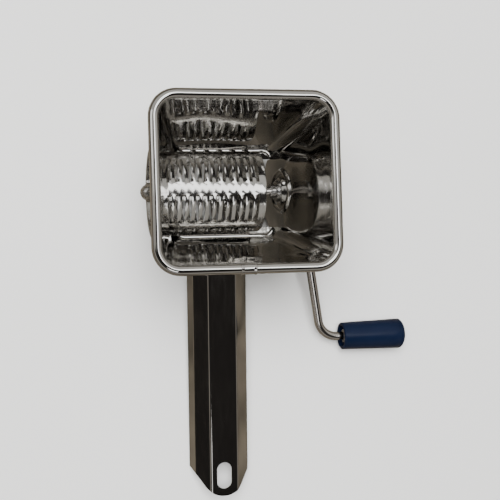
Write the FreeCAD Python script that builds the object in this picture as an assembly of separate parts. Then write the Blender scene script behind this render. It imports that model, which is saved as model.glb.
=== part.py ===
"""Rotary hand mill: a square steel hopper, a slotted drum across its throat, a bent wire crank with a
moulded grip, and a folded channel handle.

Millimetres.  Everything is laid out from the drum's axis: X runs along the drum towards the crank, Y away
from the handle, Z up out of the mouth.  shift_to_frame() then puts the origin under the middle of the whole
object, on the surface that the mill lies on.
"""
import FreeCAD
import Part
import math
import os

V = FreeCAD.Vector
X_DIRECTION = V(1, 0, 0)
AXIS_START = V(0, 0, 0)

# ---------------------------------------------------------------- hopper
SHEET = 0.7                 # hopper sheet
BEAD_R = 2.3                # rolled rim, outside radius
BEAD_SHEET = 0.6            # sheet of the rolled rim
BEAD_Z = 50.5               # rim centre line above the drum's axis
BEAD_HALF_X = 38.7          # rim centre line, half width along the drum
BEAD_HALF_Y = 36.3          # rim centre line, half width across the drum
BEAD_CORNER_R = 9.7
RIM_WIRE_R = 1.5
THROAT_Z = -12.0            # lower edge of the two side walls
THROAT_LEFT = -20.8
THROAT_RIGHT = 26.4
THROAT_HALF_Y = 20.5
THROAT_CORNER_R = 4.0
LIP_HALF_Y = 16.7           # inner edges of the lips beside the drum
FLOOR_Z = -22.8             # surface that the mill lies on
FOOT_HALF_Y = 7.0           # flat foot at the bottom of each cheek
CHEEK_HALF_Y = 16.5
CHEEK_STRAIGHT = 3.0        # how far below the throat the cheeks begin to narrow
PAST_HOPPER = 60.0          # well past every hopper wall
CLIP_X = (-4.2, 2.6)        # clip over the joint of the rim
CLIP_SHEET = 0.35

# ---------------------------------------------------------------- boss and bush in the right wall
BOSS_FACE_X = 26.9          # inner side of the seat in the boss, square to the drum's axis
BOSS_SEAT_R = 6.7
BOSS_BEAD_MID_R = 9.2       # middle of the ring round the seat, which leans with the wall
BOSS_BEAD_R = 1.6
BUSH_R = 3.2
BUSH_X = (23.4, 30.4)
BUSH_FLANGE_R = 5.0
BUSH_FLANGE_X = 25.5
BUSH_NUT_R = 5.3            # hexagon, across corners / 2
BUSH_NUT_LENGTH = 2.2
BUSH_END_GAP = 0.2          # between the bush and the circlip
CIRCLIP_R = 3.5
CIRCLIP_SHEET = 0.7
CIRCLIP_OPENING = 1.6
THRUST_GAP = 0.15           # between the bush and the thrust washer
THRUST_WASHER_R = 4.6
THRUST_WASHER_SHEET = 0.5
STOP_COLLAR_R = 3.6
STOP_COLLAR_LENGTH = 1.5

# ---------------------------------------------------------------- drum
DRUM_R = 19.0
DRUM_SHEET = 0.5
DRUM_X = (-33.6, 16.5)
SLOT_START_X = -28.6
SLOT_COUNT = 14
SLOT_WIDTH = 1.45
RIB_WIDTH = 1.65
ROW_COUNT = 6
LAND_DEG = 17.0             # plain strip between two rows of slots
RIB_LIFT = 0.9              # how far a rib is pushed out or in
FLANGE_R = 22.0
FLANGE_SHEET = 0.6
FLANGE_SKIRT_R = 20.0
FLANGE_SKIRT_END_X = -29.9
COLLAR_R = 20.3             # bore of the bearing collar
COLLAR_SHEET = 0.7
COLLAR_END_X = -32.6
SPIDER_X = -32.2
SPIDER_SHEET = 0.8
SPIDER_ARM_WIDTH = 7.0
SPIDER_HUB_R = 6.5
SPIDER_RING_R = 15.6
DRIVE_PLATE_SHEET = 0.6
DRIVE_SKIRT_START_X = 13.4
HUB_R = 4.2
HUB_X = (12.4, 18.4)
LOCK_WASHER_R = 5.1
LOCK_WASHER_SHEET = 0.8
END_NUT_R = 4.5             # hexagon of the cap nut, across corners / 2
END_NUT_LENGTH = 3.2        # its hexagon
END_DOME_R = 3.6
END_DOME_TIP_X = -38.8

# ---------------------------------------------------------------- crank
ROD_R = 2.1
ROD_END_R = 1.7             # threaded left end
ROD_START_X = -36.8
ARM_FOOT_X = 36.9           # where the arm's line meets the drum's axis
ARM_REACH = 73.2            # drum axis to grip axis
ARM_LEAN_DEG = 10.8         # arm leans away from the hopper, along its wall
ARM_FOOT_BEND_R = 5.0
GRIP_BEND_R = 10.0
SPINDLE_END_X = 88.2
RUNNING_GAP = 0.08          # radial gap of a shaft in its bore

# ---------------------------------------------------------------- grip
GRIP_X = (61.4, 91.3)
GRIP_INNER_R = 6.7
GRIP_OUTER_R = 7.4
GRIP_RECESS_R = 5.2
GRIP_CORE_R = 3.6
GRIP_RECESS_DEPTH = 10.0
GRIP_CORE_SETBACK = 2.4
GRIP_CUP_R = 4.6            # pocket for the push-on washer
GRIP_CUP_X = 86.0
GRIP_CAP_END_X = 94.0
GRIP_EDGE_R = 0.7           # rounded inner end
GRIP_RIB_HALF = 0.6         # half thickness of the ribs in the recess
GRIP_END_PLAY = 0.2
STOP_RING_R = 3.2
STOP_RING_LENGTH = 1.0
PUSH_WASHER_R = 4.0
PUSH_WASHER_SHEET = 0.8
CAP_SHOULDER_R = 4.6        # where the cap's rounded edge meets its shallow dome
CAP_DOME_HEIGHT = 0.5
CAP_SPIGOT_LENGTH = 2.6
CAP_SPIGOT_SHEET = 1.0

# ---------------------------------------------------------------- handle
HANDLE_X = -1.3             # middle of the handle
HANDLE_FLAT = 6.45          # half width of the flat front
HANDLE_FOLD_HALF = 12.9     # half width over the folds between the slanting sides and the skirts
HANDLE_FOLD_DEPTH = 7.2
HANDLE_HALF = 14.5          # half width over the lower edges
HANDLE_DEPTH = 14.0
HANDLE_SHEET = 0.9
HANDLE_FOLD_R = 1.5         # outside radius of the folds
HANDLE_TOP_Z = 0.0          # front face where it leaves the hopper
HANDLE_START_Y = -22.0
HANDLE_FOOT_Y = -131.5      # where the end begins to narrow, and the lower edges rest
HANDLE_NOSE_Y = -140.3
HANDLE_NOSE_HALF = 8.4
HANDLE_TIP_Y = -144.5
HANG_SLOT_WIDTH = 7.2
HANG_SLOT_LENGTH = 12.8
HANG_SLOT_Y = -134.7
SADDLE_END_Y = -39.0
SADDLE_SHEET = 0.9
SADDLE_SHORT = 2.0          # how much lower the handle's skirts reach than the saddle's
SADDLE_TAB_Z = 17.0
SADDLE_TAB_HALF = 9.0
RIVET_Y = -32.5
RIVET_R = 1.5
RIVET_HEAD_R = 2.8
RIVET_HEAD_HEIGHT = 0.9
RIVET_SHANK = 2.2           # length inside the handle's front face
RIVET_HOLE_DEPTH = 2.6

RIGHT_WALL_RUN = BEAD_HALF_X - BEAD_R - THROAT_RIGHT
RIGHT_WALL_RISE = BEAD_Z - THROAT_Z
RIGHT_WALL_LEAN_DEG = math.degrees(math.atan2(RIGHT_WALL_RUN, RIGHT_WALL_RISE))
BOSS_CENTRE = V(THROAT_RIGHT - THROAT_Z * RIGHT_WALL_RUN / RIGHT_WALL_RISE, 0, 0)
GRIP_DROP = FLOOR_Z + GRIP_OUTER_R      # height of the grip's axis: the grip lies on the surface
GRIP_Y = -math.sqrt(ARM_REACH ** 2 - GRIP_DROP ** 2)
GRIP_AXIS = V(0, GRIP_Y, GRIP_DROP)
CRANK_ANGLE = math.degrees(math.atan2(GRIP_DROP, GRIP_Y))   # of the arm about the drum's axis


# ---------------------------------------------------------------- small helpers
def cylinder(radius, x0, x1, centre=AXIS_START):
    """Cylinder along X."""
    return Part.makeCylinder(radius, x1 - x0, V(x0, centre.y, centre.z), X_DIRECTION)


def tube(outer, inner, x0, x1, centre=AXIS_START):
    """Tube along X."""
    return cylinder(outer, x0, x1, centre).cut(cylinder(inner, x0 - 1, x1 + 1, centre))


def box(x0, x1, y0, y1, z0, z1):
    return Part.makeBox(x1 - x0, y1 - y0, z1 - z0, V(x0, y0, z0))


def polygon_prism(points, depth):
    """Prism on a closed outline, pushed along the vector depth."""
    return Part.Face(Part.makePolygon(points + points[:1])).extrude(depth)


def revolve_about_x(edges, centre=AXIS_START):
    """Solid of revolution about the line through centre along X, from a closed loop of edges."""
    face = Part.Face(Part.Wire(edges))
    return face.revolve(centre, X_DIRECTION, 360)


def lines(points):
    """Straight edges from point to point."""
    return [Part.makeLine(a, b) for a, b in zip(points, points[1:])]


def arc(a, middle, b):
    return Part.Arc(a, middle, b).toShape()


def round_bend(before, corner, after, radius):
    """Start, middle and end of the arc that rounds the corner of a path."""
    back = (before - corner).normalize()
    ahead = (after - corner).normalize()
    half_turn = (math.pi - back.getAngle(ahead)) / 2
    cut = radius * math.tan(half_turn)
    inward = (back + ahead).normalize()
    middle = corner + inward * (radius / math.cos(half_turn) - radius)
    return corner + back * cut, middle, corner + ahead * cut


def dome_on_axis(radius, base_x, tip_x, centre=AXIS_START):
    """Spherical dome about a line along X, from a round base at base_x to its tip at tip_x."""
    height = abs(tip_x - base_x)
    ball_r = (radius ** 2 + height ** 2) / (2 * height)
    towards_base = 1 if base_x > tip_x else -1
    ball = Part.makeSphere(ball_r, V(tip_x + towards_base * ball_r, centre.y, centre.z))
    return ball.common(cylinder(radius + 1, min(base_x, tip_x), max(base_x, tip_x), centre))


def hexagon_bar(corner_r, x0, x1):
    """Hexagonal bar along the drum's axis."""
    turns = [math.radians(60 * k) for k in range(6)]
    corners = [V(x0, corner_r * math.cos(turn), corner_r * math.sin(turn)) for turn in turns]
    return polygon_prism(corners, V(x1 - x0, 0, 0))


def on_circle(radius, degrees, x=0.0):
    """Point at an angle from +Z about the drum's axis."""
    angle = math.radians(degrees)
    return V(x, radius * math.sin(angle), radius * math.cos(angle))


# ---------------------------------------------------------------- hopper
def rounded_loop(x0, x1, y0, y1, r, z):
    """Rounded rectangle at height z, corners as arcs."""
    k = r * (1 - math.sqrt(0.5))
    edges = [
        Part.makeLine(V(x0 + r, y0, z), V(x1 - r, y0, z)),
        arc(V(x1 - r, y0, z), V(x1 - k, y0 + k, z), V(x1, y0 + r, z)),
        Part.makeLine(V(x1, y0 + r, z), V(x1, y1 - r, z)),
        arc(V(x1, y1 - r, z), V(x1 - k, y1 - k, z), V(x1 - r, y1, z)),
        Part.makeLine(V(x1 - r, y1, z), V(x0 + r, y1, z)),
        arc(V(x0 + r, y1, z), V(x0 + k, y1 - k, z), V(x0, y1 - r, z)),
        Part.makeLine(V(x0, y1 - r, z), V(x0, y0 + r, z)),
        arc(V(x0, y0 + r, z), V(x0 + k, y0 + k, z), V(x0 + r, y0, z)),
    ]
    return Part.Wire(edges)


def hopper_loop(z, offset):
    """Inside of the hopper at height z, pushed outwards by offset."""
    t = (z - THROAT_Z) / (BEAD_Z - THROAT_Z)

    def between(throat, rim):
        return throat + (rim - throat) * t

    rim_x = BEAD_HALF_X - BEAD_R
    rim_y = BEAD_HALF_Y - BEAD_R
    half_y = between(THROAT_HALF_Y, rim_y) + offset
    x0 = between(THROAT_LEFT, -rim_x) - offset
    x1 = between(THROAT_RIGHT, rim_x) + offset
    corner = between(THROAT_CORNER_R, BEAD_CORNER_R - BEAD_R) + offset
    return rounded_loop(x0, x1, -half_y, half_y, corner, z)


def hopper_block(offset, z0, z1):
    """The hopper's tapering inside as one solid, pushed outwards by offset."""
    return Part.makeLoft([hopper_loop(z0, offset), hopper_loop(z1, offset)], True, True)


def rim_path(z=BEAD_Z):
    return rounded_loop(-BEAD_HALF_X, BEAD_HALF_X, -BEAD_HALF_Y, BEAD_HALF_Y, BEAD_CORNER_R, z)


def rim_ring(radius):
    """Round bar that follows the rim."""
    start = V(-BEAD_HALF_X + BEAD_CORNER_R, -BEAD_HALF_Y, BEAD_Z)
    profile = Part.Wire(Part.makeCircle(radius, start, X_DIRECTION))
    return rim_path().makePipeShell([profile], True, True)


def make_hopper_shell():
    walls = hopper_block(SHEET, FLOOR_Z, BEAD_Z).cut(hopper_block(0, FLOOR_Z - 1, BEAD_Z + 1))
    reach = PAST_HOPPER
    taper_z = THROAT_Z - CHEEK_STRAIGHT
    upper = walls.common(box(-reach, reach, -reach, reach, THROAT_Z - SHEET, BEAD_Z))
    cheek_outline = [V(-reach, CHEEK_HALF_Y, THROAT_Z + 1), V(-reach, CHEEK_HALF_Y, taper_z),
                     V(-reach, FOOT_HALF_Y, FLOOR_Z), V(-reach, -FOOT_HALF_Y, FLOOR_Z),
                     V(-reach, -CHEEK_HALF_Y, taper_z), V(-reach, -CHEEK_HALF_Y, THROAT_Z + 1)]
    cheeks = walls.common(polygon_prism(cheek_outline, V(2 * reach, 0, 0)))
    throat = hopper_block(SHEET, THROAT_Z - SHEET, THROAT_Z)
    lips = throat.cut(box(-reach, reach, -LIP_HALF_Y, LIP_HALF_Y, THROAT_Z - 2, THROAT_Z + 1))
    curl = rim_ring(BEAD_R).cut(rim_ring(BEAD_R - BEAD_SHEET))
    shell = upper.fuse([cheeks, lips, curl])
    shell = shell.cut(cylinder(COLLAR_R, -reach, 0))
    boss_hole_r = BOSS_BEAD_MID_R + BOSS_BEAD_R - SHEET / 2
    shell = shell.cut(lean_with_wall(cylinder(boss_hole_r, -10, 10)))
    return shell.fuse(make_boss()).removeSplitter()


def lean_with_wall(shape):
    """Move a shape made about the X axis onto the boss's centre, square to the right wall."""
    return shape.translated(BOSS_CENTRE).rotated(BOSS_CENTRE, V(0, 1, 0), RIGHT_WALL_LEAN_DEG)


def make_boss():
    """Ring pressed inwards in the right wall, round a seat that is square to the drum's axis."""
    middle = SHEET / 2

    def half_ring(radius):
        low = V(middle, 0, BOSS_BEAD_MID_R - radius)
        crest = V(middle - radius, 0, BOSS_BEAD_MID_R)
        high = V(middle, 0, BOSS_BEAD_MID_R + radius)
        return revolve_about_x([arc(low, crest, high), Part.makeLine(high, low)])

    bead = half_ring(BOSS_BEAD_R).cut(half_ring(BOSS_BEAD_R - SHEET))
    field = cylinder(BOSS_BEAD_MID_R - BOSS_BEAD_R + middle, 0, SHEET)
    seat_bore = BOSS_SEAT_R - SHEET
    field = lean_with_wall(field).cut(cylinder(seat_bore, BOSS_FACE_X, BOSS_FACE_X + 9))
    seat_side = tube(BOSS_SEAT_R, seat_bore, BOSS_FACE_X, BOSS_FACE_X + 9)
    seat_side = seat_side.common(hopper_block(SHEET, FLOOR_Z, BEAD_Z))
    seat = tube(BOSS_SEAT_R, BUSH_R, BOSS_FACE_X, BOSS_FACE_X + SHEET)
    return lean_with_wall(bead).fuse([field, seat_side, seat])


def make_rim_joint_clip():
    outer = cylinder(BEAD_R + CLIP_SHEET, CLIP_X[0], CLIP_X[1], V(0, -BEAD_HALF_Y, BEAD_Z))
    clip = outer.cut(cylinder(BEAD_R, CLIP_X[0] - 1, CLIP_X[1] + 1, V(0, -BEAD_HALF_Y, BEAD_Z)))
    return clip.cut(hopper_block(SHEET, FLOOR_Z, BEAD_Z + 5))


def make_drum_bearing_collar():
    collar = tube(COLLAR_R + COLLAR_SHEET, COLLAR_R, COLLAR_END_X, 0)
    return collar.cut(hopper_block(SHEET, FLOOR_Z - 5, BEAD_Z))


def make_crank_bush():
    barrel = tube(BUSH_R, ROD_R + RUNNING_GAP, BUSH_X[0], BUSH_X[1])
    flange = tube(BUSH_FLANGE_R, ROD_R + RUNNING_GAP, BUSH_FLANGE_X, BOSS_FACE_X)
    return barrel.fuse(flange).removeSplitter()


def make_bush_nut():
    start = BOSS_FACE_X + SHEET
    return hexagon_bar(BUSH_NUT_R, start, start + BUSH_NUT_LENGTH).cut(cylinder(BUSH_R, 0, PAST_HOPPER))


# ---------------------------------------------------------------- drum
def rib_loop(radius, phase):
    """Closed loop round the drum through one ring of ribs, pushed out and in by turns from row to row."""
    edges = []
    step = 360 / ROW_COUNT
    for row in range(ROW_COUNT):
        middle = row * step
        land_start = on_circle(radius, middle - LAND_DEG / 2)
        land_end = on_circle(radius, middle + LAND_DEG / 2)
        lift = RIB_LIFT if (row + phase) % 2 == 0 else -RIB_LIFT
        crest = on_circle(radius + lift, middle + step / 2)
        rib_end = on_circle(radius, middle + step - LAND_DEG / 2)
        edges.append(arc(land_start, on_circle(radius, middle), land_end))
        edges.append(arc(land_end, crest, rib_end))
    return Part.Wire(edges)


def rib_slice(phase):
    outer = Part.Face(rib_loop(DRUM_R, phase)).extrude(V(RIB_WIDTH, 0, 0))
    inner = Part.Face(rib_loop(DRUM_R - DRUM_SHEET, phase)).extrude(V(RIB_WIDTH, 0, 0))
    return outer.cut(inner)


def slot_slice():
    """The lands that are left where six slots go through."""
    sectors = []
    inner = DRUM_R - DRUM_SHEET
    for row in range(ROW_COUNT):
        middle = row * 360 / ROW_COUNT
        a = middle - LAND_DEG / 2
        b = middle + LAND_DEG / 2
        loop = [arc(on_circle(DRUM_R, a), on_circle(DRUM_R, middle), on_circle(DRUM_R, b)),
                Part.makeLine(on_circle(DRUM_R, b), on_circle(inner, b)),
                arc(on_circle(inner, b), on_circle(inner, middle), on_circle(inner, a)),
                Part.makeLine(on_circle(inner, a), on_circle(DRUM_R, a))]
        sectors.append(Part.Face(Part.Wire(loop)).extrude(V(SLOT_WIDTH, 0, 0)))
    return Part.makeCompound(sectors)


def make_drum_shell():
    pitch = SLOT_WIDTH + RIB_WIDTH
    inner = DRUM_R - DRUM_SHEET
    slots = slot_slice()
    ribs = [rib_slice(0), rib_slice(1)]
    pieces = []
    for number in range(SLOT_COUNT):
        x = SLOT_START_X + number * pitch
        pieces.extend(slots.translated(V(x, 0, 0)).Solids)
        if number < SLOT_COUNT - 1:
            pieces.append(ribs[number % 2].translated(V(x + SLOT_WIDTH, 0, 0)))
    slot_end_x = SLOT_START_X + (SLOT_COUNT - 1) * pitch + SLOT_WIDTH
    left_band = tube(DRUM_R, inner, DRUM_X[0], SLOT_START_X)
    right_band = tube(DRUM_R, inner, slot_end_x, DRUM_X[1])
    return left_band.fuse(pieces + [right_band])


def make_drum_end_flange():
    skirt = tube(FLANGE_SKIRT_R, DRUM_R, DRUM_X[0], FLANGE_SKIRT_END_X)
    flange = tube(FLANGE_R, DRUM_R, DRUM_X[0], DRUM_X[0] + FLANGE_SHEET)
    return skirt.fuse(flange).removeSplitter()


def make_end_spider():
    """Three-armed plate: the drum's end stays open between the arms."""
    x0 = SPIDER_X
    x1 = SPIDER_X + SPIDER_SHEET
    outer = DRUM_R - DRUM_SHEET
    plate = cylinder(SPIDER_HUB_R, x0, x1).fuse(tube(outer, SPIDER_RING_R, x0, x1))
    arm = box(x0, x1, -SPIDER_ARM_WIDTH / 2, SPIDER_ARM_WIDTH / 2, 0, (outer + SPIDER_RING_R) / 2)
    for turn in range(3):
        plate = plate.fuse(arm.rotated(AXIS_START, X_DIRECTION, 120 * turn + 60))
    return plate.cut(cylinder(ROD_END_R, x0 - 1, x1 + 1)).removeSplitter()


def make_end_lock_washer():
    return tube(LOCK_WASHER_R, ROD_END_R, SPIDER_X - LOCK_WASHER_SHEET, SPIDER_X)


def make_end_cap_nut():
    start = SPIDER_X - LOCK_WASHER_SHEET
    hexagon_end = start - END_NUT_LENGTH
    nut = hexagon_bar(END_NUT_R, hexagon_end, start)
    dome = dome_on_axis(END_DOME_R, hexagon_end, END_DOME_TIP_X)
    return nut.fuse(dome).cut(cylinder(ROD_END_R, ROD_START_X, start + 1))


def make_drum_drive_plate():
    outer = DRUM_R - DRUM_SHEET
    plate = cylinder(outer, DRUM_X[1] - DRIVE_PLATE_SHEET, DRUM_X[1])
    skirt = tube(outer, outer - DRIVE_PLATE_SHEET, DRIVE_SKIRT_START_X, DRUM_X[1])
    return plate.fuse(skirt).cut(cylinder(HUB_R, 0, PAST_HOPPER)).removeSplitter()


def make_drive_hub():
    return tube(HUB_R, ROD_R, HUB_X[0], HUB_X[1])


# ---------------------------------------------------------------- crank
def make_crank_rod():
    """One wire bent twice: shaft, leaning arm and grip spindle, swung to the rest angle."""
    lean = math.radians(ARM_LEAN_DEG)
    foot = V(ARM_FOOT_X, 0, 0)
    knee = V(ARM_FOOT_X + ARM_REACH * math.tan(lean), ARM_REACH, 0)
    shoulder = V(SPIDER_X + SPIDER_SHEET, 0, 0)
    spindle_end = V(SPINDLE_END_X, ARM_REACH, 0)
    a0, a1, a2 = round_bend(shoulder, foot, knee, ARM_FOOT_BEND_R)
    b0, b1, b2 = round_bend(foot, knee, spindle_end, GRIP_BEND_R)
    path = Part.Wire([Part.makeLine(shoulder, a0), arc(a0, a1, a2), Part.makeLine(a2, b0),
                      arc(b0, b1, b2), Part.makeLine(b2, spindle_end)])
    profile = Part.Wire(Part.makeCircle(ROD_R, shoulder, X_DIRECTION))
    rod = path.makePipeShell([profile], True, True)
    rod = rod.fuse(cylinder(ROD_END_R, ROD_START_X, shoulder.x + 1)).removeSplitter()
    return rod.rotated(AXIS_START, X_DIRECTION, CRANK_ANGLE)


def make_inner_circlip():
    end = BUSH_X[0] - BUSH_END_GAP
    clip = tube(CIRCLIP_R, ROD_R, end - CIRCLIP_SHEET, end)
    half = CIRCLIP_OPENING / 2
    return clip.cut(box(end - 2 * CIRCLIP_SHEET, end + 1, -half, half, 0, 2 * CIRCLIP_R))


def make_outer_thrust_washer():
    start = BUSH_X[1] + THRUST_GAP
    return tube(THRUST_WASHER_R, ROD_R, start, start + THRUST_WASHER_SHEET)


def make_stop_collar():
    start = BUSH_X[1] + THRUST_GAP + THRUST_WASHER_SHEET
    return tube(STOP_COLLAR_R, ROD_R, start, start + STOP_COLLAR_LENGTH)


def make_grip_stop_ring():
    end = GRIP_X[0] + GRIP_CORE_SETBACK - GRIP_END_PLAY
    return tube(STOP_RING_R, ROD_R, end - STOP_RING_LENGTH, end, GRIP_AXIS)


def make_grip_push_washer():
    start = GRIP_CUP_X + GRIP_END_PLAY
    return tube(PUSH_WASHER_R, ROD_R, start, start + PUSH_WASHER_SHEET, GRIP_AXIS)


# ---------------------------------------------------------------- grip
def make_grip_body():
    """Slightly tapered grip, open at its inner end round a ribbed core."""
    edge = GRIP_EDGE_R
    x0, x1 = GRIP_X
    core_x = x0 + GRIP_CORE_SETBACK
    floor_x = x0 + GRIP_RECESS_DEPTH
    bore = ROD_R + RUNNING_GAP
    axis = GRIP_AXIS

    def at(x, r):
        return V(x, axis.y, axis.z + r)

    outline = [at(core_x, bore), at(core_x, GRIP_CORE_R), at(floor_x, GRIP_CORE_R), at(floor_x, GRIP_RECESS_R),
               at(x0, GRIP_RECESS_R), at(x0, GRIP_INNER_R - edge)]
    outer = [at(x0 + edge, GRIP_INNER_R), at(x1, GRIP_OUTER_R), at(x1, GRIP_CUP_R),
             at(GRIP_CUP_X, GRIP_CUP_R), at(GRIP_CUP_X, bore), at(core_x, bore)]
    soft = edge * (1 - math.sqrt(0.5))
    corner = arc(outline[-1], at(x0 + soft, GRIP_INNER_R - soft), outer[0])
    body = revolve_about_x(lines(outline) + [corner] + lines(outer), axis)
    rib_half = GRIP_RIB_HALF
    for turn in range(4):
        rib = box(core_x + 0.6, floor_x + 0.5, axis.y - rib_half, axis.y + rib_half,
                  axis.z + GRIP_CORE_R - 0.4, axis.z + GRIP_RECESS_R + 0.4)
        body = body.fuse(rib.rotated(axis, X_DIRECTION, 90 * turn + 45))
    return body


def make_grip_end_cap():
    """Domed cap with a hollow spigot that plugs the outer end of the grip."""
    axis = GRIP_AXIS
    x1 = GRIP_X[1]

    def at(x, r):
        return V(x, axis.y, axis.z + r)

    shoulder = at(GRIP_CAP_END_X - CAP_DOME_HEIGHT, CAP_SHOULDER_R)
    outline = [arc(at(x1, GRIP_OUTER_R), at(x1 + 1.45, GRIP_OUTER_R - 0.85), shoulder)]
    outline += lines([shoulder, at(shoulder.x, 0), at(x1, 0), at(x1, GRIP_OUTER_R)])
    cap = revolve_about_x(outline, axis)
    cap = cap.fuse(dome_on_axis(CAP_SHOULDER_R, shoulder.x, GRIP_CAP_END_X, axis))
    spigot_bore = GRIP_CUP_R - CAP_SPIGOT_SHEET
    spigot = tube(GRIP_CUP_R, spigot_bore, x1 - CAP_SPIGOT_LENGTH, x1 + 0.5, axis)
    return cap.fuse(spigot).removeSplitter()


# ---------------------------------------------------------------- handle
def inward_normal(a, b):
    """Unit vector square to the line from a to b, on its right."""
    run = (b - a).normalize()
    return V(run.z, 0, -run.x)


def handle_corners(inset, shorter):
    """Corners of the section from one lower edge over the front to the other, pushed inwards by inset."""
    right = [V(HANDLE_FLAT, 0, 0), V(HANDLE_FOLD_HALF, 0, -HANDLE_FOLD_DEPTH),
             V(HANDLE_HALF, 0, -HANDLE_DEPTH)]
    right[-1] += (right[-2] - right[-1]).normalize() * shorter
    corners = [V(-p.x, 0, p.z) for p in reversed(right)] + right
    normals = [inward_normal(a, b) for a, b in zip(corners, corners[1:])]
    moved = [corners[0] + normals[0] * inset]
    for corner, before, after in zip(corners[1:], normals, normals[1:]):
        both = before + after
        moved.append(corner + both * (2 * inset / both.dot(both)))
    return moved + [corners[-1] + normals[-1] * inset]


def handle_bar(inset, shorter, y0, y1):
    """Bar with the handle's section from y0 to y1, before it is hollowed and tilted."""
    corners = handle_corners(inset, shorter)
    edges = []
    start = corners[0]
    for before, corner, after in zip(corners, corners[1:], corners[2:]):
        a, middle, b = round_bend(before, corner, after, HANDLE_FOLD_R - inset * 0.5)
        edges += [Part.makeLine(start, a), arc(a, middle, b)]
        start = b
    edges += lines([start, corners[-1], corners[0]])
    return Part.Face(Part.Wire(edges)).extrude(V(0, y1 - y0, 0)).translated(V(0, y0, 0))


def handle_channel(inset, sheet, shorter, y0, y1):
    """Channel open below and at both ends; its skirts end shorter than the handle's."""
    outer = handle_bar(inset, shorter, y0, y1)
    return outer.cut(handle_bar(inset + sheet, -3, y0 + 1, y1 - 1))


def tilt_handle(shape):
    """Slope the handle so that its far lower edges lie on the surface."""
    run = HANDLE_START_Y - HANDLE_FOOT_Y
    angle = math.asin((HANDLE_TOP_Z - HANDLE_DEPTH - FLOOR_Z) / run)
    moved = shape.translated(V(HANDLE_X, HANDLE_START_Y, HANDLE_TOP_Z))
    return moved.rotated(V(HANDLE_X, HANDLE_START_Y, HANDLE_TOP_Z), X_DIRECTION, math.degrees(angle))


def make_handle_shell():
    length = HANDLE_TIP_Y - HANDLE_START_Y
    channel = tilt_handle(handle_channel(0, HANDLE_SHEET, 0, 0, length - 5))
    reach = HANDLE_HALF + 2
    z0 = FLOOR_Z
    nose_end = V(HANDLE_X, HANDLE_TIP_Y, z0)
    left = [V(HANDLE_X - reach, 0, z0), V(HANDLE_X - reach, HANDLE_FOOT_Y, z0),
            V(HANDLE_X - HANDLE_HALF, HANDLE_FOOT_Y, z0), V(HANDLE_X - HANDLE_NOSE_HALF, HANDLE_NOSE_Y, z0)]
    right = [V(2 * HANDLE_X - p.x, p.y, z0) for p in reversed(left)]
    plan = lines(left) + [arc(left[-1], nose_end, right[0])] + lines(right + [left[0]])
    channel = channel.common(Part.Face(Part.Wire(plan)).extrude(V(0, 0, 60)))
    slot_run = (HANG_SLOT_LENGTH - HANG_SLOT_WIDTH) / 2
    slot_r = HANG_SLOT_WIDTH / 2
    slot_y0 = HANG_SLOT_Y - slot_run
    slot_y1 = HANG_SLOT_Y + slot_run
    slot = box(HANDLE_X - slot_r, HANDLE_X + slot_r, slot_y0, slot_y1, z0, 0)
    for y in (slot_y0, slot_y1):
        slot = slot.fuse(Part.makeCylinder(slot_r, -z0, V(HANDLE_X, y, z0)))
    channel = channel.cut(slot).cut(hopper_block(SHEET + SADDLE_SHEET, FLOOR_Z - 5, BEAD_Z))
    return channel.cut(rivet_bodies()).removeSplitter()


def make_handle_saddle():
    """Bracket: a plate and a tab on the hopper's outer wall, and a short channel inside the handle."""
    length = SADDLE_END_Y - HANDLE_START_Y
    channel = tilt_handle(handle_channel(HANDLE_SHEET, SADDLE_SHEET, SADDLE_SHORT, 0, length))
    plate = tilt_handle(handle_bar(0, 0, 6, length))
    tab_x0 = HANDLE_X - SADDLE_TAB_HALF
    tab_x1 = HANDLE_X + SADDLE_TAB_HALF
    tab = box(tab_x0, tab_x1, -PAST_HOPPER, 0, -HANDLE_DEPTH / 2, SADDLE_TAB_Z)
    against_wall = hopper_block(SHEET + SADDLE_SHEET, FLOOR_Z, BEAD_Z).common(plate.fuse(tab))
    saddle = channel.fuse(against_wall).cut(hopper_block(SHEET, FLOOR_Z - 5, BEAD_Z + 1))
    return saddle.cut(rivet_bodies()).removeSplitter()


def rivet_bodies():
    """Shanks of the two rivets, square to the handle's slanting sides."""
    return Part.makeCompound([rivet(sign, RIVET_HOLE_DEPTH) for sign in (-1, 1)])


def rivet(sign, inward, head_r=0, head=0):
    """One rivet through a slanting side: shank, and a low head outside if it has one."""
    direction = V(sign * HANDLE_FOLD_DEPTH, 0, HANDLE_FOLD_HALF - HANDLE_FLAT).normalize()
    side_middle = (HANDLE_FLAT + HANDLE_FOLD_HALF) / 2
    middle = V(sign * side_middle, RIVET_Y - HANDLE_START_Y, -HANDLE_FOLD_DEPTH / 2)
    shape = Part.makeCylinder(RIVET_R, inward + 0.01, middle - direction * inward, direction)
    if head:
        dome_r = (head_r ** 2 + head ** 2) / (2 * head)
        ball = Part.makeSphere(dome_r, middle - direction * (dome_r - head))
        half = Part.makeCylinder(head_r + 1, head + 1, middle, direction)
        shape = shape.fuse(ball.common(half))
    return tilt_handle(shape)


def make_saddle_rivets():
    return Part.makeCompound([rivet(sign, RIVET_SHANK, RIVET_HEAD_R, RIVET_HEAD_HEIGHT)
                              for sign in (-1, 1)])


# ---------------------------------------------------------------- write the parts
def shift_to_frame(shape):
    """Origin under the middle of the whole object, on the surface it lies on."""
    left_x = -BEAD_HALF_X - BEAD_R
    middle_x = (left_x + GRIP_CAP_END_X) / 2
    middle_y = (BEAD_HALF_Y + BEAD_R + HANDLE_TIP_Y) / 2
    return shape.translated(V(-middle_x, -middle_y, -FLOOR_Z))


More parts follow.
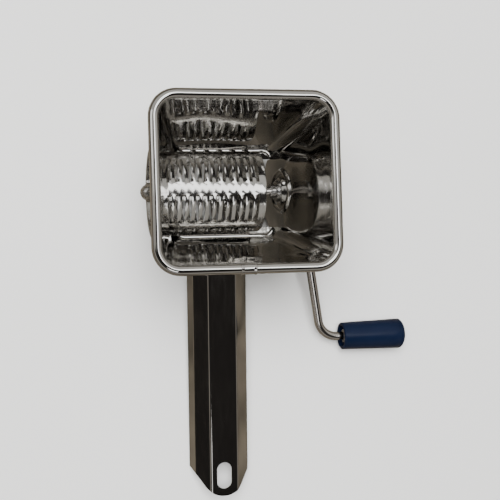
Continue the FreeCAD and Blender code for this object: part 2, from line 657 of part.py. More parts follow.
NODES = {
    "hopper_shell": make_hopper_shell,
    "rim_wire": lambda: rim_ring(RIM_WIRE_R),
    "rim_joint_clip": make_rim_joint_clip,
    "drum_bearing_collar": make_drum_bearing_collar,
    "crank_bush": make_crank_bush,
    "bush_nut": make_bush_nut,
    "handle_shell": make_handle_shell,
    "handle_saddle": make_handle_saddle,
    "saddle_rivets": make_saddle_rivets,
    "drum_shell": make_drum_shell,
    "drum_end_flange": make_drum_end_flange,
    "end_spider": make_end_spider,
    "end_lock_washer": make_end_lock_washer,
    "end_cap_nut": make_end_cap_nut,
    "drum_drive_plate": make_drum_drive_plate,
    "drive_hub": make_drive_hub,
    "crank_rod": make_crank_rod,
    "inner_circlip": make_inner_circlip,
    "outer_thrust_washer": make_outer_thrust_washer,
    "stop_collar": make_stop_collar,
    "grip_stop_ring": make_grip_stop_ring,
    "grip_push_washer": make_grip_push_washer,
    "grip_body": make_grip_body,
    "grip_end_cap": make_grip_end_cap,
}

os.makedirs("parts", exist_ok=True)
for node, make in NODES.items():
    shape = shift_to_frame(make())
    shape.exportStep(f"parts/{node}.step")
    limits = shape.BoundBox
    print(f"{node:22s} solids {len(shape.Solids)} valid {shape.isValid()} volume {shape.Volume:9.1f}"
          f"  x {limits.XMin:7.2f} {limits.XMax:7.2f}  y {limits.YMin:7.2f} {limits.YMax:7.2f}"
          f"  z {limits.ZMin:6.2f} {limits.ZMax:6.2f}")
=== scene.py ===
import math

import bmesh
import bpy
from mathutils import Matrix, Vector, noise


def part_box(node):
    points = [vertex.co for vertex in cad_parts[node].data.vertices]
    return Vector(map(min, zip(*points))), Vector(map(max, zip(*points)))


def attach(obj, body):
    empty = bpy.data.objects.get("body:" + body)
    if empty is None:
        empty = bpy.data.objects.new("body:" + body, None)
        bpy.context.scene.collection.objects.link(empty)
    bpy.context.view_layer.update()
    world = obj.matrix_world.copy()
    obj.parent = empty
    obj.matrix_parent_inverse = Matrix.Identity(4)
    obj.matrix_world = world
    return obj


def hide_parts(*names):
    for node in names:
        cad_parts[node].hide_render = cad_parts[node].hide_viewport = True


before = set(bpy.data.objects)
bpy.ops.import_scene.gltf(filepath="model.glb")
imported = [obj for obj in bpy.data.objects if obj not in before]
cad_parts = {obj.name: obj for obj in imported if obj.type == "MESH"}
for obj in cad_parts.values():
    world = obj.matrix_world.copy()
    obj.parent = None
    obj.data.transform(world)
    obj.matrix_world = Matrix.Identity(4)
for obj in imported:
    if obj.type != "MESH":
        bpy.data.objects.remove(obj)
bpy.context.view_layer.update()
MM = 0.001

# Everything is laid out in millimetres from the drum's axis, as in the CAD: X along the drum towards the
# crank, Y away from the handle, Z up out of the mouth.  at() turns that into metres in the frame.
DRUM_LEFT = -33.6
DRUM_RIGHT = 16.5
DRUM_R = 19.0
DRUM_SHEET = 0.5

SHEET = 0.7
BEAD_R = 2.3
BEAD_Z = 50.5
BEAD_HALF_X = 38.7
BEAD_HALF_Y = 36.3
BEAD_CORNER_R = 9.7
THROAT_Z = -12.0
THROAT_LEFT = -20.8
THROAT_RIGHT = 26.4
THROAT_HALF_Y = 20.5
THROAT_CORNER_R = 4.0
LIP_HALF_Y = 16.6
LIP_BEND_R = 1.5
LIP_SLOPE = 0.18
FLOOR_Z = -22.8
FOOT_HALF_Y = 7.0
CHEEK_HALF_Y = 16.5
CHEEK_TAPER_Z = -15.0
CHEEK_END_Z = FLOOR_Z + 0.17      # the sheet's outer face leans down to the floor from here
COLLAR_R = 20.3

BEAD_START_DEG = -128             # where the rolled sheet ends, from outwards
BEAD_END_DEG = 169.5              # where it meets the wall
FINE_ROWS_Z = 14                  # closer rows of points below this height
CLIP_X = (-4.2, 2.6)
CLIP_SHEET = 0.18
CLIP_TURN_DEG = (-60, 195)
CLIP_LIP = ((0, 0.03), (0.15, 0.30), (0.5, 0.34), (0.9, 0.14), (1.6, 0.12))    # (from the end, lift)

SLOW_WAVE = 0.45                  # slow strays of the sheet, twice as large on the right wall
SLOW_WAVE_PER_MM = 0.045
SLOW_WAVE_PLACE = Vector((3.1, 1.7, 9.2))
QUICK_WAVE = 0.05
QUICK_WAVE_IN_FRONT = 0.06        # added on the near wall
QUICK_WAVE_PER_MM = 0.11
QUICK_WAVE_PLACE = Vector((7.9, 4.4, 0.6))

BOSS_FACE_X = 26.9
BOSS_SEAT_R = 6.7
BOSS_BEAD_MID_R = 9.2
BOSS_BEAD_R = 1.7
BOSS_BEAD_POWER = 0.7             # below 1 makes the ring fuller than a cosine
BUSH_HOLE_R = 3.4
BUSH_R = 3.2
BUSH_NUT_R = 5.3
BUSH_NUT_LENGTH = 2.2
BUSH_NUT_CHAMFER = 0.35
BOSS_PATCH_Y = 11.6
BOSS_PATCH_Z = 11.6

SLOT_START_X = -28.6
SLOT_COUNT = 14
SLOT_WIDTH = 1.45
RIB_WIDTH = 1.65
ROW_COUNT = 6
ROW_DEG = 360 / ROW_COUNT
LAND_DEG = 17.0
LAND_DENT = 0.03
RIB_SPAN = ROW_DEG - LAND_DEG
RIB_OUT = 0.62
RIB_IN = 0.42
RIB_ARCH_POWER = 0.7
RIB_CROWN = 0.22
INWARD_CROWN_SHARE = 0.4
CROWN_EASE_DEG = 5                # the crown grows over this angle from a rib's end
PLAIN_END_COLUMNS = 6             # columns of points to the right of the first slot

FLANGE_R = 22.0
FLANGE_SKIRT_R = 20.0
END_NUT_X = (-36.2, -33.0)
END_NUT_R = 4.5
END_NUT_CHAMFER = 0.4
END_DOME_R = 3.6
END_DOME_HEIGHT = 2.6

HANDLE_X = -1.3
HANDLE_FLAT = 6.45
HANDLE_FOLD_HALF = 12.9
HANDLE_FOLD_DEPTH = 7.2
HANDLE_HALF = 14.5
HANDLE_DEPTH = 14.0
HANDLE_SHEET = 0.9
HANDLE_FOLD_R = 1.5
HANDLE_EDGE_LIFT = 0.55     # the skirts' outer edges stay this much above their inner ones
HANDLE_START_Y = -22.0
HANDLE_FOOT_Y = -131.5
HANDLE_NOSE_Y = -140.3
HANDLE_NOSE_HALF = 8.4
HANDLE_TIP_Y = -144.5
SLOT_IN_HANDLE_WIDTH = 7.2
SLOT_IN_HANDLE_LENGTH = 12.8
SLOT_IN_HANDLE_Y = -134.7
HANDLE_STRETCH_STEPS = (5, 7, 18, 7, 5)
HANDLE_FOLD_STEPS = 7
HANDLE_RIPPLE = 0.10
SADDLE_GAP = 0.2

ROD_R = 2.1
ROD_END_R = 1.7                   # turned-down left end
ROD_START_X = -36.8
ROD_SHOULDER_X = -31.4
ROD_CHAMFER = 0.3
SPINDLE_END_X = 88.2
RUNNING_GAP = 0.08
ARM_FOOT_X = 36.9
ARM_LEAN_DEG = 10.8
ARM_FOOT_BEND_R = 5.0
GRIP_BEND_R = 10.0
GRIP_X = (61.4, 91.3)
GRIP_INNER_R = 6.7
GRIP_OUTER_R = 7.4
GRIP_CAP_END_X = 94.0
GRIP_ROUND = 0.8
GRIP_RECESS_R = 5.2
GRIP_RECESS_DEPTH = 10
GRIP_CORE_R = 3.6
GRIP_CORE_INSET = 2.4
CORE_RIB_HALF = 0.6
CAP_SEAM = 0.14
CAP_FLAT_SHARE = 0.42
CAP_BORE_R = 4.6
CAP_BORE_X = 86.0


def middle_of(node):
    low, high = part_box(node)
    return (Vector(low) + Vector(high)) / 2


flange_low = Vector(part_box("drum_end_flange")[0])
flange_middle = middle_of("drum_end_flange")
AXIS = Vector((flange_low.x - DRUM_LEFT * MM, flange_middle.y, flange_middle.z))
GRIP_OFFSET = (middle_of("grip_body") - AXIS) / MM
GRIP_Y = GRIP_OFFSET.y
GRIP_DROP = GRIP_OFFSET.z
ARM_REACH = math.hypot(GRIP_Y, GRIP_DROP)


def at(x, y, z):
    """Point in the frame, in metres, from millimetres about the drum's axis."""
    return AXIS + Vector((x, y, z)) * MM


def smooth(a, b, value):
    """0 before a, 1 after b, and an even slope between."""
    t = min(1.0, max(0.0, (value - a) / (b - a)))
    return t * t * (3 - 2 * t)


def steps(a, b, count):
    return [a + (b - a) * k / count for k in range(count + 1)]


# ---------------------------------------------------------------- mesh helpers
def add_grid(bm, rows, closed=False, keep=None):
    """Faces over rows of points.

    closed joins the ends of each row, and keep(row, column) can leave faces out.
    """
    verts = [[bm.verts.new(point) for point in row] for row in rows]
    for j in range(len(rows) - 1):
        count = len(rows[j])
        for i in range(count if closed else count - 1):
            if keep is None or keep(j, i):
                k = (i + 1) % count
                bm.faces.new((verts[j][i], verts[j][k], verts[j + 1][k], verts[j + 1][i]))
    return verts


def add_capped(bm, rows):
    """Closed solid from a stack of closed rows, with a flat face over each end."""
    verts = add_grid(bm, rows, closed=True)
    bm.faces.new(verts[0])
    bm.faces.new(list(reversed(verts[-1])))


def add_lathe(bm, profile, segments, centre_y=0.0, centre_z=0.0):
    """Closed ring-shaped solid round a line along X, from a closed loop of (x, r) points."""
    rows = []
    for x, r in profile + profile[:1]:
        turn = [2 * math.pi * k / segments for k in range(segments)]
        rows.append([at(x, centre_y + r * math.sin(a), centre_z + r * math.cos(a)) for a in turn])
    add_grid(bm, rows, closed=True)


def finish_mesh(name, bm, sharp_deg=35):
    """Weld, drop loose points, turn the faces outwards and smooth all but the sharp edges."""
    bmesh.ops.remove_doubles(bm, verts=bm.verts, dist=1e-6)
    bmesh.ops.delete(bm, geom=[v for v in bm.verts if not v.link_faces], context="VERTS")
    bmesh.ops.recalc_face_normals(bm, faces=bm.faces)
    mesh = bpy.data.meshes.new(name)
    bm.to_mesh(mesh)
    bm.free()
    smooth_mesh(mesh, sharp_deg)
    return mesh


def smooth_mesh(mesh, sharp_deg=35):
    for polygon in mesh.polygons:
        polygon.use_smooth = True
    mesh.set_sharp_from_angle(angle=math.radians(sharp_deg))


def apply_modifiers(piece):
    graph = bpy.context.evaluated_depsgraph_get()
    mesh = bpy.data.meshes.new_from_object(piece.evaluated_get(graph))
    piece.modifiers.clear()
    piece.data = mesh
    mesh.name = piece.name
    return mesh


def thicken(piece, thickness, offset):
    """Turn a sheet into a solid; offset -1 adds the metal on the back of the faces, 1 on the front."""
    modifier = piece.modifiers.new("sheet", "SOLIDIFY")
    modifier.thickness = thickness * MM
    modifier.offset = offset
    modifier.use_even_offset = True
    modifier.use_quality_normals = True


def cut_away(piece, name, mesh):
    """Cut the solid mesh out of the piece."""
    cutter = link(name, mesh)
    modifier = piece.modifiers.new("cut", "BOOLEAN")
    modifier.operation = "DIFFERENCE"
    modifier.solver = "EXACT"
    modifier.object = cutter
    apply_modifiers(piece)
    bpy.data.objects.remove(cutter)


def link(name, mesh):
    piece = bpy.data.objects.new(name, mesh)
    bpy.context.scene.collection.objects.link(piece)
    return piece


def settle(piece, material, body, slot, *nodes):
    """Give the piece its material and body, and let it stand for its CAD nodes."""
    piece.data.materials.clear()
    piece.data.materials.append(material)
    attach(piece, body)
    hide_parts(*nodes)


# ---------------------------------------------------------------- materials
NOISE_LOW, NOISE_HIGH = 0.3, 0.7  # nearly all of the noise lies between these

CLOUD_SCALE = 38.0
GRAIN_SCALE = 90.0
GRAIN_ROUGHNESS = 0.05
GRAIN_DEPTH = 0.00002             # metres
SMEAR_SCALE = 55.0
SMEAR_STRETCH = (1, 0.6, 1.3)

GRIP_DARK = (0.003, 0.007, 0.022)
GRIP_LIGHT = (0.005, 0.010, 0.030)
GRIP_CLOUD_SCALE = 60.0
GRIP_RUB_SCALE = 120.0
GRIP_ROUGHNESS = (0.26, 0.40)
GRIP_SPECULAR = 0.25
PEEL_SCALE = 900.0
PEEL_STRENGTH = 0.25
PEEL_DEPTH = 0.00004              # metres


def new_material(name):
    material = bpy.data.materials.new(name)
    material.use_nodes = True
    nodes = material.node_tree.nodes
    return material, nodes, material.node_tree.links, nodes["Principled BSDF"]


def noise_map(nodes, links, scale, stretch=(1, 1, 1), detail=3.0):
    """Noise in the object's own space, in metres; stretch scales the three axes."""
    coordinates = nodes.new("ShaderNodeTexCoord")
    mapping = nodes.new("ShaderNodeMapping")
    mapping.inputs["Scale"].default_value = stretch
    texture = nodes.new("ShaderNodeTexNoise")
    texture.inputs["Scale"].default_value = scale
    texture.inputs["Detail"].default_value = detail
    links.new(coordinates.outputs["Object"], mapping.inputs["Vector"])
    links.new(mapping.outputs["Vector"], texture.inputs["Vector"])
    return texture.outputs["Fac"]


def remap(nodes, links, value, low, high, from_low=NOISE_LOW, from_high=NOISE_HIGH):
    node = nodes.new("ShaderNodeMapRange")
    node.inputs["From Min"].default_value = from_low
    node.inputs["From Max"].default_value = from_high
    node.inputs["To Min"].default_value = low
    node.inputs["To Max"].default_value = high
    links.new(value, node.inputs["Value"])
    return node.outputs["Result"]


def tint(nodes, links, value, dark, light):
    ramp = nodes.new("ShaderNodeValToRGB")
    ramp.color_ramp.elements[0].position = NOISE_LOW
    ramp.color_ramp.elements[0].color = (*dark, 1)
    ramp.color_ramp.elements[1].position = NOISE_HIGH
    ramp.color_ramp.elements[1].color = (*light, 1)
    links.new(value, ramp.inputs["Fac"])
    return ramp.outputs["Color"]


def add_bump(nodes, links, height, strength, distance):
    bump = nodes.new("ShaderNodeBump")
    bump.inputs["Strength"].default_value = strength
    bump.inputs["Distance"].default_value = distance
    links.new(height, bump.inputs["Height"])
    return bump.outputs["Normal"]


def steel(name, dark, light, smudge, grain_stretch, grain_bump):
    """Steel: cloudy tint, hand smudges in the roughness, and a fine grain along one way."""
    material, nodes, links, shader = new_material(name)
    shader.inputs["Metallic"].default_value = 1.0
    cloud = noise_map(nodes, links, CLOUD_SCALE, detail=4.0)
    links.new(tint(nodes, links, cloud, dark, light), shader.inputs["Base Color"])
    grain = noise_map(nodes, links, GRAIN_SCALE, grain_stretch, 5.0)
    smear = noise_map(nodes, links, SMEAR_SCALE, SMEAR_STRETCH, 6.0)
    add = nodes.new("ShaderNodeMath")
    add.operation = "ADD"
    links.new(remap(nodes, links, smear, *smudge), add.inputs[0])
    links.new(remap(nodes, links, grain, 0.0, GRAIN_ROUGHNESS), add.inputs[1])
    links.new(add.outputs[0], shader.inputs["Roughness"])
    links.new(add_bump(nodes, links, grain, grain_bump, GRAIN_DEPTH), shader.inputs["Normal"])
    return material


def grip_plastic():
    """Gloss moulded plastic: slightly cloudy dark blue, faint orange-peel, duller where hands rub it."""
    material, nodes, links, shader = new_material("grip_blue")
    cloud = noise_map(nodes, links, GRIP_CLOUD_SCALE, detail=3.0)
    links.new(tint(nodes, links, cloud, GRIP_DARK, GRIP_LIGHT), shader.inputs["Base Color"])
    rub = noise_map(nodes, links, GRIP_RUB_SCALE, (0.4, 1, 1), 6.0)
    links.new(remap(nodes, links, rub, *GRIP_ROUGHNESS), shader.inputs["Roughness"])
    shader.inputs["Specular IOR Level"].default_value = GRIP_SPECULAR
    peel = noise_map(nodes, links, PEEL_SCALE, detail=2.0)
    links.new(add_bump(nodes, links, peel, PEEL_STRENGTH, PEEL_DEPTH), shader.inputs["Normal"])
    return material


HOPPER_STEEL = steel("hopper_steel", (0.68, 0.67, 0.65), (0.78, 0.77, 0.75),
                     smudge=(0.02, 0.07), grain_stretch=(1, 1, 9), grain_bump=0.04)
RIM_STEEL = steel("rim_steel", (0.70, 0.69, 0.68), (0.78, 0.77, 0.76),
                  smudge=(0.05, 0.10), grain_stretch=(3, 3, 3), grain_bump=0.05)
HANDLE_STEEL = steel("handle_steel", (0.56, 0.54, 0.51), (0.64, 0.62, 0.59),
                     smudge=(0.03, 0.08), grain_stretch=(9, 1, 9), grain_bump=0.06)
DRUM_STEEL = steel("drum_steel", (0.68, 0.67, 0.65), (0.78, 0.77, 0.75),
                   smudge=(0.06, 0.14), grain_stretch=(1, 6, 6), grain_bump=0.2)
ROD_STEEL = steel("rod_steel", (0.66, 0.63, 0.61), (0.76, 0.73, 0.71),
                  smudge=(0.08, 0.14), grain_stretch=(5, 5, 5), grain_bump=0.4)
HARDWARE_STEEL = steel("hardware_steel", (0.55, 0.54, 0.53), (0.70, 0.69, 0.68),
                       smudge=(0.18, 0.30), grain_stretch=(2, 12, 12), grain_bump=0.6)
GRIP_BLUE = grip_plastic()


# ---------------------------------------------------------------- hopper
SIDE_STEPS = {"right": 76, "back": 40, "left": 40, "front": 40}
CORNER_STEPS = 10


def rounded_ring(x0, x1, half_y, r):
    """Points and outward directions round a rounded rectangle, from the right side's front end."""
    def side(name, a, b, out):
        count = SIDE_STEPS[name]
        return [(a[0] + (b[0] - a[0]) * k / count, a[1] + (b[1] - a[1]) * k / count, *out)
                for k in range(count)]

    def corner(cx, cy, start_deg):
        turn = [math.radians(start_deg + 90 * k / CORNER_STEPS) for k in range(CORNER_STEPS)]
        return [(cx + r * math.cos(a), cy + r * math.sin(a), math.cos(a), math.sin(a)) for a in turn]

    yc = half_y - r
    ring = side("right", (x1, -yc), (x1, yc), (1, 0))
    ring += corner(x1 - r, yc, 0)
    ring += side("back", (x1 - r, half_y), (x0 + r, half_y), (0, 1))
    ring += corner(x0 + r, yc, 90)
    ring += side("left", (x0, yc), (x0, -yc), (-1, 0))
    ring += corner(x0 + r, -yc, 180)
    ring += side("front", (x0 + r, -half_y), (x1 - r, -half_y), (0, -1))
    ring += corner(x1 - r, -yc, 270)
    return ring


RIGHT_SIDE = range(0, SIDE_STEPS["right"] + 1)
BACK_START = SIDE_STEPS["right"]
LEFT_START = BACK_START + CORNER_STEPS + SIDE_STEPS["back"] + CORNER_STEPS
LEFT_SIDE = range(LEFT_START, LEFT_START + SIDE_STEPS["left"] + 1)
FRONT_START = LEFT_SIDE[-1]
RING_COUNT = FRONT_START + CORNER_STEPS + SIDE_STEPS["front"] + CORNER_STEPS


def wall_ring(z):
    """Inside of the hopper's wall at height z."""
    t = (z - THROAT_Z) / (BEAD_Z - THROAT_Z)

    def between(throat, rim):
        return throat + (rim - throat) * t

    rim_x = BEAD_HALF_X - BEAD_R
    x0 = between(THROAT_LEFT, -rim_x)
    x1 = between(THROAT_RIGHT, rim_x)
    half_y = between(THROAT_HALF_Y, BEAD_HALF_Y - BEAD_R)
    return rounded_ring(x0, x1, half_y, between(THROAT_CORNER_R, BEAD_CORNER_R - BEAD_R))


def sheet_wave(x, y, z):
    """How far the pressed sheet strays from flat, in mm: nothing at the rim and the throat."""
    hold = smooth(BEAD_Z - 1, BEAD_Z - 12, z) * smooth(THROAT_Z + 1, THROAT_Z + 10, z)
    place = Vector((x, y, z))
    slow = noise.noise(place * SLOW_WAVE_PER_MM + SLOW_WAVE_PLACE)
    quick = noise.noise(place * QUICK_WAVE_PER_MM + QUICK_WAVE_PLACE)
    slow_size = SLOW_WAVE + SLOW_WAVE * smooth(18, 26, x)
    quick_size = QUICK_WAVE + QUICK_WAVE_IN_FRONT * (smooth(-15, -24, y) * smooth(25, 5, z))
    return hold * (slow_size * slow + quick_size * quick)


def press_boss(x, y, z):
    """Right wall with the boss pressed into it: a ring in the wall round a seat square to the axis."""
    lean = math.atan2(BEAD_HALF_X - BEAD_R - THROAT_RIGHT, BEAD_Z - THROAT_Z)
    r = math.hypot(y, z / math.cos(lean))
    beside = (r - BOSS_BEAD_MID_R) / BOSS_BEAD_R
    if abs(beside) < 1:
        lift = (BOSS_BEAD_R - SHEET / 2) * math.cos(beside * math.pi / 2) ** BOSS_BEAD_POWER
        x -= lift * math.cos(lean)
        z += lift * math.sin(lean)
    seat = smooth(BOSS_SEAT_R + 0.5, BOSS_SEAT_R - 0.5, math.hypot(y, z))
    return x + (BOSS_FACE_X - x) * seat, y, z


def wall_row(z):
    row = []
    for index, (x, y, out_x, out_y) in enumerate(wall_ring(z)):
        stray = sheet_wave(x, y, z)
        if index in RIGHT_SIDE:
            stray *= smooth(BOSS_BEAD_MID_R + BOSS_BEAD_R, BOSS_BEAD_MID_R + 8, math.hypot(y, z))
            row.append(press_boss(x + stray, y, z))
        else:
            row.append((x + out_x * stray, y + out_y * stray, z))
    return row


def bead_row(degrees):
    """Ring round the rolled rim at an angle from outwards, turning upwards."""
    out = BEAD_R * math.cos(math.radians(degrees))
    z = BEAD_Z + BEAD_R * math.sin(math.radians(degrees))
    half_x = BEAD_HALF_X + out
    ring = rounded_ring(-half_x, half_x, BEAD_HALF_Y + out, BEAD_CORNER_R + out)
    return [(x, y, z) for x, y, _, _ in ring]


def lip_depth(y):
    return max(0.0, abs(y) - LIP_HALF_Y)


def lip_bend(y):
    return min(LIP_BEND_R, lip_depth(y))


def add_lip(bm, ring, start):
    """Bend and flat lip along one long side of the throat, with its two corners."""
    count = 2 * CORNER_STEPS + SIDE_STEPS["back"] + 1
    points = [ring[(start + k) % RING_COUNT] for k in range(count)]
    rows = [[at(x, y, THROAT_Z + lip_bend(y)) for x, y, _, _ in points]]
    for angle in steps(0, math.pi / 2, 6)[1:]:
        row = []
        for x, y, _, _ in points:
            bend = lip_bend(y)
            inwards = math.copysign(bend * (1 - math.cos(angle)), y)
            row.append(at(x, y - inwards, THROAT_Z + bend - bend * math.sin(angle)))
        rows.append(row)
    for share in (0.5, 1.0):
        row = []
        for x, y, _, _ in points:
            bend = lip_bend(y)
            inwards = bend + (lip_depth(y) - bend) * share
            row.append(at(x, y - math.copysign(inwards, y), THROAT_Z - LIP_SLOPE * (inwards - bend)))
        rows.append(row)
    add_grid(bm, rows)


def add_cheek(bm, side):
    """End wall that goes on below the throat and narrows to a foot."""
    rows = []
    for z in steps(THROAT_Z, CHEEK_TAPER_Z, 3) + steps(CHEEK_TAPER_Z, CHEEK_END_Z, 6)[1:]:
        half = CHEEK_HALF_Y
        if z < CHEEK_TAPER_Z:
            half += (FOOT_HALF_Y - CHEEK_HALF_Y) * (z - CHEEK_TAPER_Z) / (FLOOR_Z - CHEEK_TAPER_Z)
        ring = wall_ring(z)
        span = [ring[k] for k in side]
        top = abs(span[0][1])
        rows.append([at(*press_or_not(side, x, y * half / top, z)) for x, y, _, _ in span])
    add_grid(bm, rows)


def press_or_not(side, x, y, z):
    return press_boss(x, y, z) if side is RIGHT_SIDE else (x, y, z)


def add_boss(bm, edge):
    """Round patch of the right wall with the boss, out to a squarish edge of points in the wall."""
    slope = (BEAD_HALF_X - BEAD_R - THROAT_RIGHT) / (BEAD_Z - THROAT_Z)
    cos_lean = math.cos(math.atan(slope))
    rows = [[at(*p) for p in edge]]
    radii = [BOSS_BEAD_MID_R + BOSS_BEAD_R * math.cos(a) for a in steps(0, math.pi, 24)]
    radii += steps(radii[-1], BUSH_HOLE_R, 22)[1:]
    turns = [math.atan2(y, z / cos_lean) for _, y, z in edge]
    for r in radii:
        row = []
        for a in turns:
            y = r * math.sin(a)
            z = r * math.cos(a) * cos_lean
            row.append(at(*press_boss(THROAT_RIGHT + (z - THROAT_Z) * slope, y, z)))
        rows.append(row)
    add_grid(bm, rows, closed=True)


def make_hopper():
    bm = bmesh.new()
    rows = [bead_row(angle) for angle in steps(BEAD_START_DEG, BEAD_END_DEG, 34)]
    rows += [wall_row(z) for z in steps(BEAD_Z, FINE_ROWS_Z, 24)[1:]]
    rows += [wall_row(z) for z in steps(FINE_ROWS_Z, THROAT_Z + LIP_BEND_R, 50)[1:]]
    throat_ring = wall_ring(THROAT_Z)
    rows.append([(x, y, THROAT_Z + lip_bend(y)) for x, y, _, _ in throat_ring])

    first = max(j for j, row in enumerate(rows) if row[0][2] > BOSS_PATCH_Z and j < len(rows) - 1)
    last = len(rows) - 1
    left = max(i for i in RIGHT_SIDE if rows[last][i][1] < -BOSS_PATCH_Y)
    right = min(i for i in RIGHT_SIDE if rows[last][i][1] > BOSS_PATCH_Y)

    def not_in_boss_patch(j, i):
        return not (first <= j < last and left <= i < right)

    add_grid(bm, [[at(*p) for p in row] for row in rows], closed=True, keep=not_in_boss_patch)
    edge = [rows[first][i] for i in range(left, right)]
    edge += [rows[j][right] for j in range(first, last)]
    edge += [rows[last][i] for i in range(right, left, -1)]
    edge += [rows[j][left] for j in range(last, first, -1)]
    add_boss(bm, edge)
    add_lip(bm, throat_ring, BACK_START)
    add_lip(bm, throat_ring, FRONT_START)
    add_cheek(bm, RIGHT_SIDE)
    add_cheek(bm, LEFT_SIDE)
    bmesh.ops.remove_doubles(bm, verts=bm.verts, dist=2e-6)
    bmesh.ops.recalc_face_normals(bm, faces=bm.faces)
    topmost = max(bm.faces, key=lambda f: f.calc_center_median().z)
    if topmost.normal.z < 0:
        bmesh.ops.reverse_faces(bm, faces=bm.faces)
    mesh = bpy.data.meshes.new("hopper")
    bmesh.ops.delete(bm, geom=[v for v in bm.verts if not v.link_faces], context="VERTS")
    bm.to_mesh(mesh)
    bm.free()
    hopper = link("hopper", mesh)
    thicken(hopper, SHEET, -1)
    apply_modifiers(hopper)
    cut_away(hopper, "collar_hole", collar_hole_mesh())
    smooth_mesh(hopper.data, 38)
    settle(hopper, HOPPER_STEEL, "body", "hopper_steel", "hopper_shell")


def collar_hole_mesh():
    """Round cutter through the left wall, where the drum's collar sits."""
    bm = bmesh.new()
    turn = [2 * math.pi * k / 128 for k in range(128)]
    rows = [[at(x, COLLAR_R * math.sin(a), COLLAR_R * math.cos(a)) for a in turn] for x in (-60, 0)]
    add_capped(bm, rows)
    return finish_mesh("collar_hole", bm)


def make_rim_clip():
    """Thin sleeve over the joint of the rolled rim, with a raised lip at both ends."""
    x0, x1 = CLIP_X
    lips = [(x0 + along, lift) for along, lift in CLIP_LIP]
    profile = lips + [(x0 + x1 - x, lift) for x, lift in reversed(lips)]
    bm = bmesh.new()
    rows = []
    for angle in steps(*CLIP_TURN_DEG, 40):
        a = math.radians(angle)
        row = []
        for x, lift in profile:
            r = BEAD_R + lift
            row.append(at(x, -BEAD_HALF_Y - r * math.cos(a), BEAD_Z + r * math.sin(a)))
        rows.append(row)
    add_grid(bm, rows)
    clip = link("rim_clip", finish_mesh("rim_clip", bm, 60))
    thicken(clip, CLIP_SHEET, -1)
    apply_modifiers(clip)
    smooth_mesh(clip.data, 60)
    settle(clip, RIM_STEEL, "body", "hopper_steel", "rim_joint_clip")


# ---------------------------------------------------------------- handle
HANDLE_RUN = HANDLE_START_Y - HANDLE_FOOT_Y
HANDLE_TILT = math.asin((-HANDLE_DEPTH - FLOOR_Z) / HANDLE_RUN)
WALL_SLOPE = (BEAD_HALF_Y - BEAD_R - THROAT_HALF_Y) / (BEAD_Z - THROAT_Z)


def handle_section():
    """(x, depth) points of the folded section, from its left lower edge to its right one."""
    corners = [Vector((HANDLE_FLAT, 0)), Vector((HANDLE_FOLD_HALF, HANDLE_FOLD_DEPTH)),
               Vector((HANDLE_HALF, HANDLE_DEPTH - HANDLE_EDGE_LIFT))]
    corners = [Vector((-c.x, c.y)) for c in reversed(corners)] + corners
    counts = HANDLE_STRETCH_STEPS
    points = []
    start = corners[0]
    for k in range(1, len(corners) - 1):
        back = (corners[k - 1] - corners[k]).normalized()
        ahead = (corners[k + 1] - corners[k]).normalized()
        half_turn = (math.pi - back.angle(ahead)) / 2
        cut = HANDLE_FOLD_R * math.tan(half_turn)
        a = corners[k] + back * cut
        b = corners[k] + ahead * cut
        centre = corners[k] + (back + ahead).normalized() * (HANDLE_FOLD_R / math.cos(half_turn))
        points += [start.lerp(a, j / counts[k - 1]) for j in range(counts[k - 1])]
        for j in range(HANDLE_FOLD_STEPS):
            direction = (a - centre).lerp(b - centre, j / HANDLE_FOLD_STEPS).normalized()
            points.append(centre + direction * HANDLE_FOLD_R)
        start = b
    points += [start.lerp(corners[-1], j / counts[-1]) for j in range(counts[-1] + 1)]
    return points


def handle_point(x, depth, along):
    """Point of the sloping handle, along mm from where it starts and depth mm below its front."""
    y = HANDLE_START_Y - along * math.cos(HANDLE_TILT) + depth * math.sin(HANDLE_TILT)
    z = -along * math.sin(HANDLE_TILT) - depth * math.cos(HANDLE_TILT)
    return HANDLE_X + x, y, z


def handle_start(depth):
    """Along, where the section meets the plate on the hopper's wall."""
    stand_off = 2 * SHEET + SADDLE_GAP
    gap = HANDLE_START_Y + THROAT_HALF_Y + stand_off + depth * math.sin(HANDLE_TILT)
    gap += WALL_SLOPE * (-THROAT_Z - depth * math.cos(HANDLE_TILT))
    return gap / (math.cos(HANDLE_TILT) + WALL_SLOPE * math.sin(HANDLE_TILT))


def handle_end(x, depth):
    """Along, where the pointed end cuts the section off."""
    sagitta = HANDLE_NOSE_Y - HANDLE_TIP_Y
    nose_r = (HANDLE_NOSE_HALF ** 2 + sagitta ** 2) / (2 * sagitta)
    if abs(x) <= HANDLE_NOSE_HALF:
        y_end = HANDLE_TIP_Y + nose_r - math.sqrt(nose_r ** 2 - x ** 2)
    else:
        share = (abs(x) - HANDLE_NOSE_HALF) / (HANDLE_HALF - HANDLE_NOSE_HALF)
        y_end = HANDLE_NOSE_Y + (HANDLE_FOOT_Y - HANDLE_NOSE_Y) * share
    return (HANDLE_START_Y - y_end + depth * math.sin(HANDLE_TILT)) / math.cos(HANDLE_TILT)


def make_handle():
    rows = []
    section = handle_section()
    for share in steps(0, 1, 64):
        row = []
        for p in section:
            start = handle_start(p.y)
            along = start + (handle_end(p.x, p.y) - start) * share
            ripple = HANDLE_RIPPLE * noise.noise(Vector((p.x * 0.06, along * 0.035, 4.0)))
            row.append(at(*handle_point(p.x, p.y + ripple * (1 - share), along)))
        rows.append(row)
    bm = bmesh.new()
    add_grid(bm, rows)
    mesh = finish_mesh("handle", bm)
    if mesh.polygons[len(mesh.polygons) // 2].normal.z < 0:
        mesh.flip_normals()
    handle = link("handle", mesh)
    thicken(handle, HANDLE_SHEET, -1)
    apply_modifiers(handle)
    cut_away(handle, "hanging_slot", hanging_slot_mesh())
    smooth_mesh(handle.data, 40)
    settle(handle, HANDLE_STEEL, "body", "handle_steel", "handle_shell")


